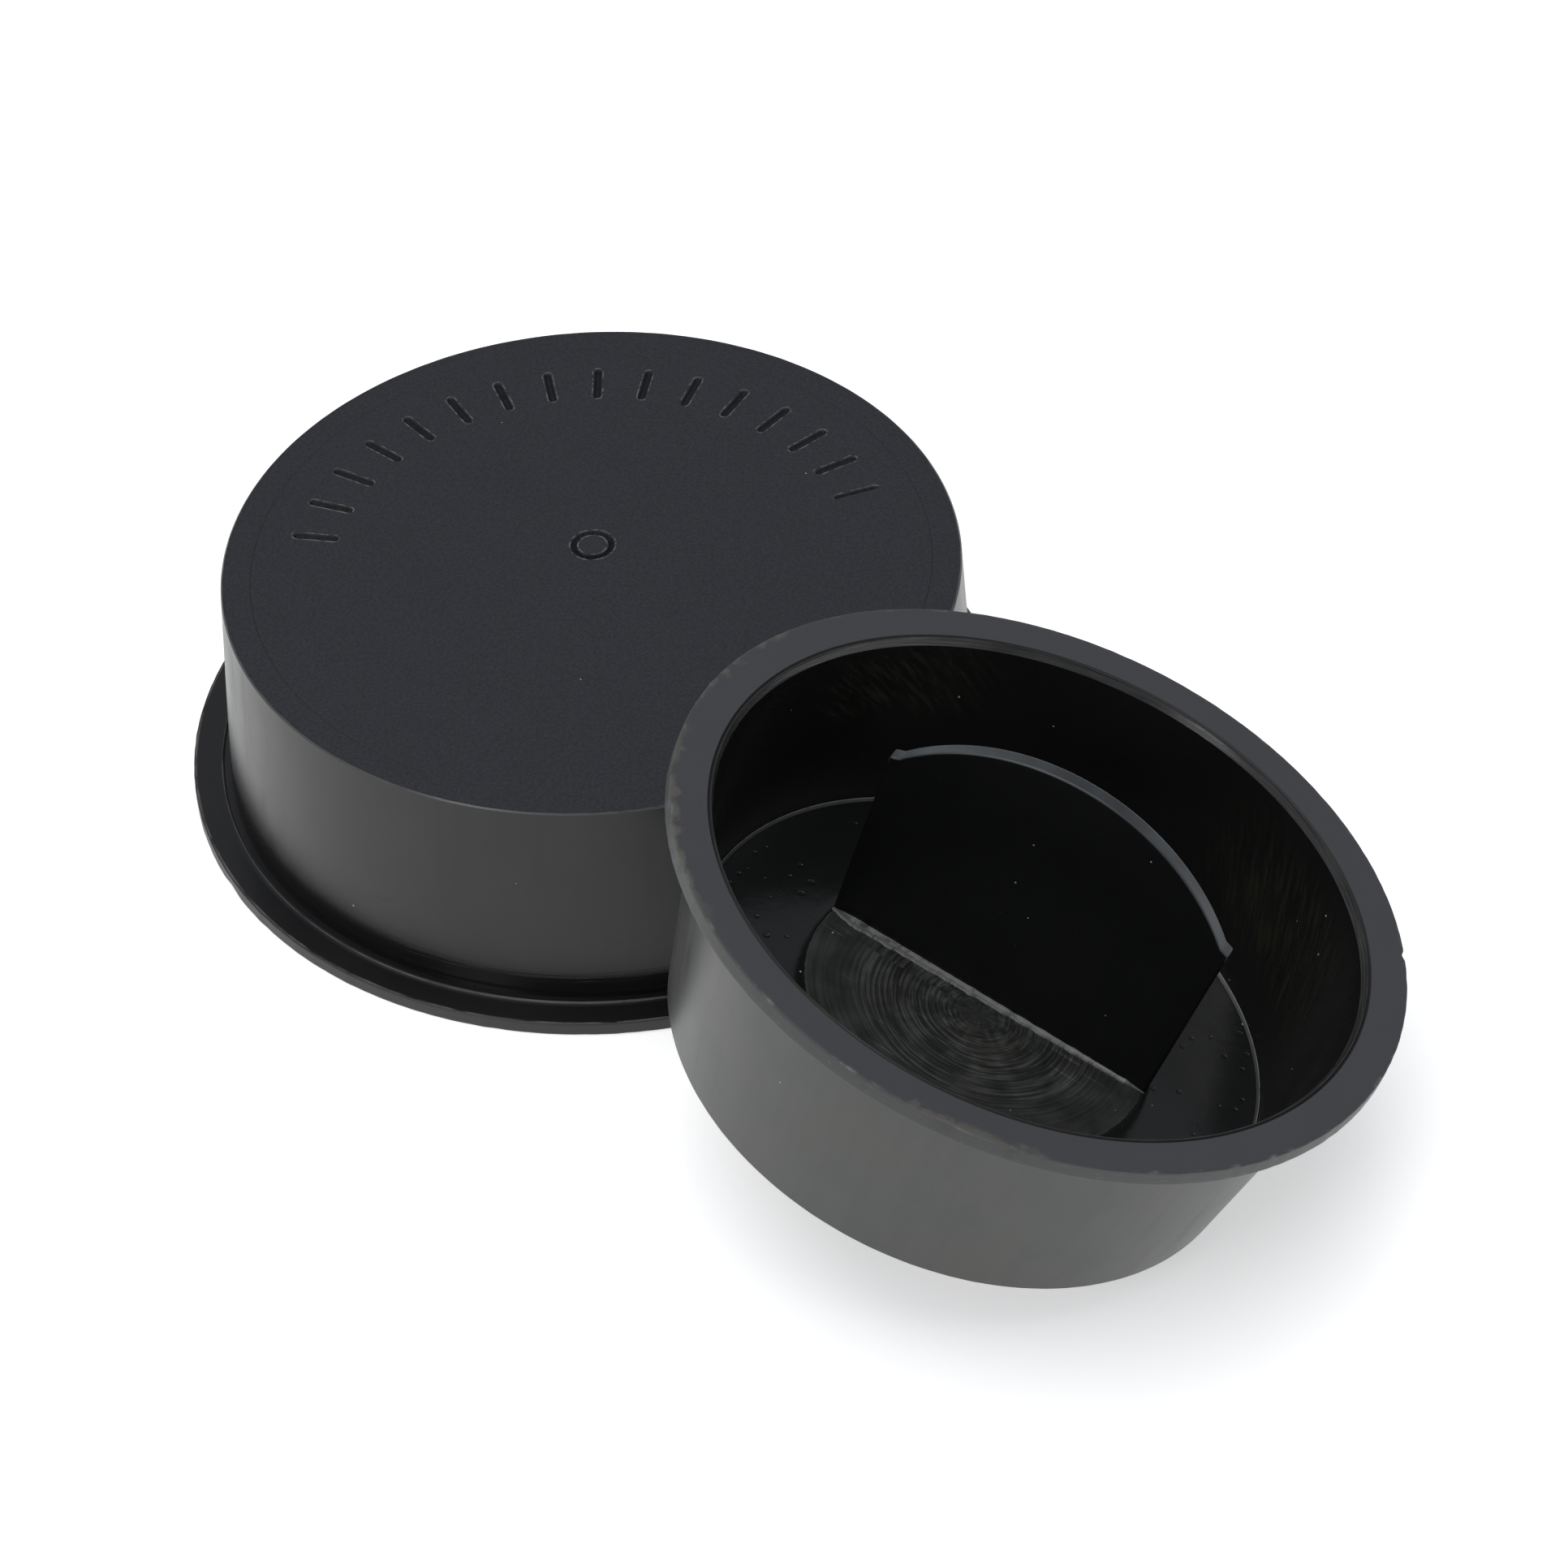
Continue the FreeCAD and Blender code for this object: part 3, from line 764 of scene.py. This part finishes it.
def end_disc(cap, sizes, materials, marked):
    """The disc that closes the cap, with a thin bead of cement where its floor meets the wall."""
    tick_in = TICK_MIDDLE_RADIUS - TICK_HALF_LENGTH - 0.4 * MM
    tick_out = TICK_MIDDLE_RADIUS + TICK_HALF_LENGTH + 0.4 * MM
    centre_out = 4.0 * MM
    closed = [Corner(0.0, sizes["closed"], "face", steps=8)]
    if marked:
        closed = [
            Corner(0.0, sizes["closed"], "face", steps=50),
            Corner(centre_out, sizes["closed"], "face", steps=8),
            Corner(tick_in, sizes["closed"], "face", steps=36),
            Corner(tick_out, sizes["closed"], "face", steps=4),
        ]
    corners = closed + [
        Corner(sizes["plug"], sizes["closed"], "hidden", 0.03 * MM),
        Corner(sizes["plug"], sizes["ledge"]),
        Corner(sizes["inner_floor"], sizes["ledge"]),
        Corner(sizes["inner_floor"], sizes["floor"] + FLOOR_BEAD, "cement"),
        Corner(sizes["inner_floor"] - FLOOR_BEAD, sizes["floor"], "floor", steps=10),
        Corner(sizes["pad"], sizes["floor"], "hidden", 0.05 * MM),
        Corner(sizes["pad"], sizes["pad_seat"]),
        Corner(0.0, sizes["pad_seat"]),
    ]
    pad = sizes["pad"]

    def jagged(radius, level, angle):
        ring = bump_near(radius, pad, 0.3 * MM) * smooth(level, sizes["pad_seat"], sizes["floor"])
        return radius + ring * pad_jitter(angle), level

    def alter(radius, level, angle):
        if marked:
            radius, level = engraved(radius, level, angle)
        return jagged(radius, level, angle)

    angles = mark_angles() if marked else even_angles(480)
    piece = lathe(cap, cap.name + "_end", corners, materials, angles, alter, closed=False)
    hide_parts(cap.name + "_end_disc")


def bump_near(radius, middle, half_width):
    """1 at the middle radius and 0 past the half width."""
    return np.clip(1.0 - np.abs(radius - middle) / half_width, 0.0, 1.0)


def pad_jitter(angle):
    """How far the ragged joint round the pad wanders, as a radius."""
    return ripple(angle, 41, (30, 200), 0.035 * MM)


def grip_pad(cap, sizes, materials):
    """The round pad in the floor, with turned grooves about its middle."""
    pad, floor = sizes["pad"], sizes["floor"]

    def alter(radius, level, angle):
        groove = ripple(radius / pad * math.pi, 51, (34, 80))
        broken = smooth(ripple(angle + radius / pad * 2.0, 52, (2, 14)), -0.9, 0.6)
        inner = smooth(radius, 0.0, 2.0 * MM) * smooth(radius, pad - 0.3 * MM, pad - 0.9 * MM)
        top = level > floor - 0.01 * MM
        level = level + top * inner * broken * (groove - 1.5) * 0.013 * MM
        edge = bump_near(radius, pad, 0.3 * MM) * smooth(level, sizes["pad_seat"], floor)
        return radius + edge * (pad_jitter(angle) - 0.03 * MM), level

    corners = [
        Corner(0.0, sizes["pad_seat"]),
        Corner(pad, sizes["pad_seat"]),
        Corner(pad, floor, "pad", 0.07 * MM, steps=150),
        Corner(0.0, floor),
    ]
    piece = lathe(cap, cap.name + "_pad", corners, materials, even_angles(360), alter, closed=False)
    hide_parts(cap.name + "_grip_pad")


def grip_sizes(cap, floor):
    """The grip's half lengths, levels and faces, read from its node."""
    points = cap.points("grip_web")
    widest = points[np.abs(points[:, 0]).argmax()]
    at_floor = points[np.abs(points[:, 2] - floor) < SAME_LEVEL]
    return {
        "near": points[:, 1].min(), "far": points[:, 1].max(),
        "foot": np.abs(at_floor[:, 0]).max(),
        "shoulder": abs(widest[0]), "shoulder_level": widest[2],
        "crest": points[:, 2].max(),
    }


def grip(cap, sizes, materials):
    """The upright plate, with an arched top and a small burr left on each shoulder."""
    grip = grip_sizes(cap, sizes["floor"])
    half, start = grip["shoulder"], grip["shoulder_level"]
    rise = grip["crest"] - start
    radius = (half * half + rise * rise) / (2.0 * rise)
    swing = math.asin(half / radius)
    turns = [swing * (1 - i / 30) for i in range(1, 60)]
    arch = [(radius * math.sin(turn), grip["crest"] - radius + radius * math.cos(turn))
            for turn in turns]
    tab = [(half + 0.03 * MM, start + 0.10 * MM), (half + 0.02 * MM, start + 0.50 * MM),
           (half - 0.30 * MM, start + 0.62 * MM)]
    right = [(grip["foot"], sizes["floor"] - 0.3 * MM), (grip["foot"], sizes["floor"]), (half, start)]
    left_tab = [(-x, z) for x, z in reversed(tab)]
    left = [(-x, z) for x, z in reversed(right)]
    ring = right + tab + [p for p in arch if abs(p[0]) < half - 0.5 * MM] + left_tab + left
    near = [(x, grip["near"], z) for x, z in ring]
    far = [(x, grip["far"], z) for x, z in ring]
    count = len(ring)
    faces = [tuple(range(count)), tuple(range(2 * count - 1, count - 1, -1))]
    finishes = ["grip", "grip"]
    for i in range(count):
        following = (i + 1) % count
        faces.append((i, count + i, count + following, following))
        upward = ring[i][1] > start - 0.1 * MM and ring[following][1] > start - 0.1 * MM
        finishes.append("grip_edge" if upward else "grip")
    piece = mesh_object(cap, cap.name + "_grip", near + far, faces, finishes, materials)
    rounding = piece.modifiers.new("rounding", "BEVEL")
    rounding.width = 0.12 * MM
    rounding.segments = 3
    rounding.limit_method = "ANGLE"
    rounding.angle_limit = math.radians(50.0)
    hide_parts(cap.name + "_grip_web")
    return grip


def foot_bead(cap, sizes, grip, materials, name, face, outward):
    """An uneven bead of cement along one side of the grip's foot, with a blob at one end."""
    floor = sizes["floor"]
    steps, across = 260, 8
    vertices, faces = [], []
    for i in range(steps + 1):
        share = i / steps
        x = grip["foot"] * (2.0 * share - 1.0)
        spot = Vector((x / MM * 1.3, outward * 7.0, 0.0))
        swell = 1.0 + 0.25 * noise.noise(spot) + 0.10 * noise.noise(spot * 4.0)
        ends = min(1.0, 12.0 * min(share, 1.0 - share) + 0.25)
        height = 0.21 * MM * swell * ends
        width = (0.75 - 0.5 * share) * MM * swell * ends
        inside = face - outward * 0.1 * MM
        vertices.append((x, inside, floor - 0.05 * MM))
        for k in range(across):
            turn = k / (across - 1) * math.pi / 2.0
            pull = 1.0 + 0.05 * noise.noise(spot * 9.0 + Vector((0.0, 0.0, k)))
            vertices.append((x, face + outward * width * math.sin(turn) ** 1.5 * pull,
                             floor + height * math.cos(turn) ** 1.5 * pull))
        vertices.append((x, face + outward * width, floor - 0.05 * MM))
    ring = across + 2
    for i in range(steps):
        for k in range(ring):
            here, following = i * ring + k, i * ring + (k + 1) % ring
            faces.append((here, following, following + ring, here + ring))
    faces.append(tuple(range(ring)))
    faces.append(tuple(steps * ring + k for k in reversed(range(ring))))
    piece = mesh_object(cap, name, vertices, faces, ["cement"] * len(faces), materials)


def build_cap(name, wall_colour, wall_roughness, wall_gloss, stains, scuffs, nicks):
    cap = Cap(name)
    sizes = cap_sizes(cap)
    materials = cap_materials(cap, sizes, wall_colour, wall_roughness, wall_gloss, stains, scuffs)
    flange(cap, sizes, materials, nicks)
    wall(cap, sizes, materials)
    end_disc(cap, sizes, materials, marked=name == "large")
    grip_pad(cap, sizes, materials)
    grip_size = grip(cap, sizes, materials)
    foot_bead(cap, sizes, grip_size, materials, name + "_front_bead", grip_size["near"], -1)
    foot_bead(cap, sizes, grip_size, materials, name + "_back_bead", grip_size["far"], 1)


# ---------------------------------------------------------------- stage

def middle():
    return (cad_box[0] + cad_box[1]) / 2.0


def lay_floor():
    """A plain pale floor, a hair under the object, that gives off a little light."""
    size = FLOOR_HALF
    mesh = bpy.data.meshes.new("floor")
    level = cad_box[0].z - 0.01 * MM
    corners = [(-size, -size, level), (size, -size, level), (size, size, level), (-size, size, level)]
    mesh.from_pydata(corners, [], [(0, 1, 2, 3)])
    surface = Surface(None, "floor_white", (0.80, 0.80, 0.80), 0.9)
    surface.shader.inputs["Emission Color"].default_value = (1.0, 1.0, 1.0, 1.0)
    surface.shader.inputs["Emission Strength"].default_value = FLOOR_GLOW
    surface.tint(surface.cloud(200.0 * MM), 0.99, 1.01)
    mesh.materials.append(surface.finish())
    floor = bpy.data.objects.new("floor", mesh)
    bpy.context.scene.collection.objects.link(floor)


def softbox(name, direction, distance, size, power):
    """A square light that faces the object. Distance and size are in metres, power in watts."""
    data = bpy.data.lights.new(name, "AREA")
    data.shape = "SQUARE"
    data.size = size
    data.energy = power
    light = bpy.data.objects.new(name, data)
    away = Vector(direction).normalized()
    light.location = middle() + away * distance
    light.rotation_mode = "QUATERNION"
    light.rotation_quaternion = (-away).to_track_quat("-Z", "Y")
    bpy.context.scene.collection.objects.link(light)


def light_scene():
    """A pale room, brighter near the horizon, with a large light above and a small one at the side."""
    world = bpy.data.worlds.new("pale_room")
    world.use_nodes = True
    tree = world.node_tree
    place = tree.nodes.new("ShaderNodeTexCoord")
    parts = tree.nodes.new("ShaderNodeSeparateXYZ")
    ramp = tree.nodes.new("ShaderNodeValToRGB")
    ramp.color_ramp.elements[0].position = HORIZON_TOP
    ramp.color_ramp.elements[0].color = HORIZON
    ramp.color_ramp.elements[1].position = SKY_FOOT
    ramp.color_ramp.elements[1].color = SKY
    tree.links.new(place.outputs["Generated"], parts.inputs[0])
    tree.links.new(parts.outputs["Z"], ramp.inputs[0])
    tree.links.new(ramp.outputs[0], tree.nodes["Background"].inputs["Color"])
    bpy.context.scene.world = world
    softbox("overhead", (-0.10, -0.05, 1.0), distance=0.9, size=0.9, power=6.5)
    softbox("window", (-0.49, -0.69, 0.53), distance=0.7, size=0.22, power=0.7)


def place_camera():
    data = bpy.data.cameras.new("camera")
    data.lens = LENS
    data.sensor_width = SENSOR
    camera = bpy.data.objects.new("camera", data)
    azimuth, elevation = math.radians(CAMERA_AZIMUTH), math.radians(CAMERA_ELEVATION)
    back = Vector((math.sin(azimuth) * math.cos(elevation),
                   -math.cos(azimuth) * math.cos(elevation), math.sin(elevation)))
    camera.location = middle() + CAMERA_AIM + back * CAMERA_DISTANCE
    camera.rotation_mode = "QUATERNION"
    roll = Quaternion((0.0, 0.0, 1.0), math.radians(CAMERA_ROLL))
    camera.rotation_quaternion = (-back).to_track_quat("-Z", "Y") @ roll
    bpy.context.scene.collection.objects.link(camera)
    bpy.context.scene.camera = camera


place_camera()
light_scene()
lay_floor()
bpy.context.scene.view_settings.view_transform = "Standard"

build_cap("large", wall_colour=(0.0125, 0.0125, 0.013), wall_roughness=0.26, wall_gloss=0.36,
          stains=[(40.0, 20.0, 9.0 * MM, 4.0 * MM, 30.0)], scuffs=[(60.0, 30.0)],
          nicks=[(70.0, 2.0, 0.10 * MM), (150.0, 3.0, 0.08 * MM)])
build_cap("small", wall_colour=(0.032, 0.034, 0.033), wall_roughness=0.28, wall_gloss=0.5,
          stains=[(140.0, 17.0, 13.5 * MM, 3.5 * MM, 40.0), (48.0, 22.0, 11.0 * MM, 5.5 * MM, 55.0)],
          scuffs=[(-148.0, 24.0), (170.0, 14.0), (-76.0, 14.0)],
          nicks=[(-150.0, 2.0, 0.14 * MM), (-138.0, 1.5, 0.12 * MM), (-80.0, 2.5, 0.10 * MM),
                 (-70.0, 1.5, 0.12 * MM), (29.0, 1.2, 0.16 * MM)])
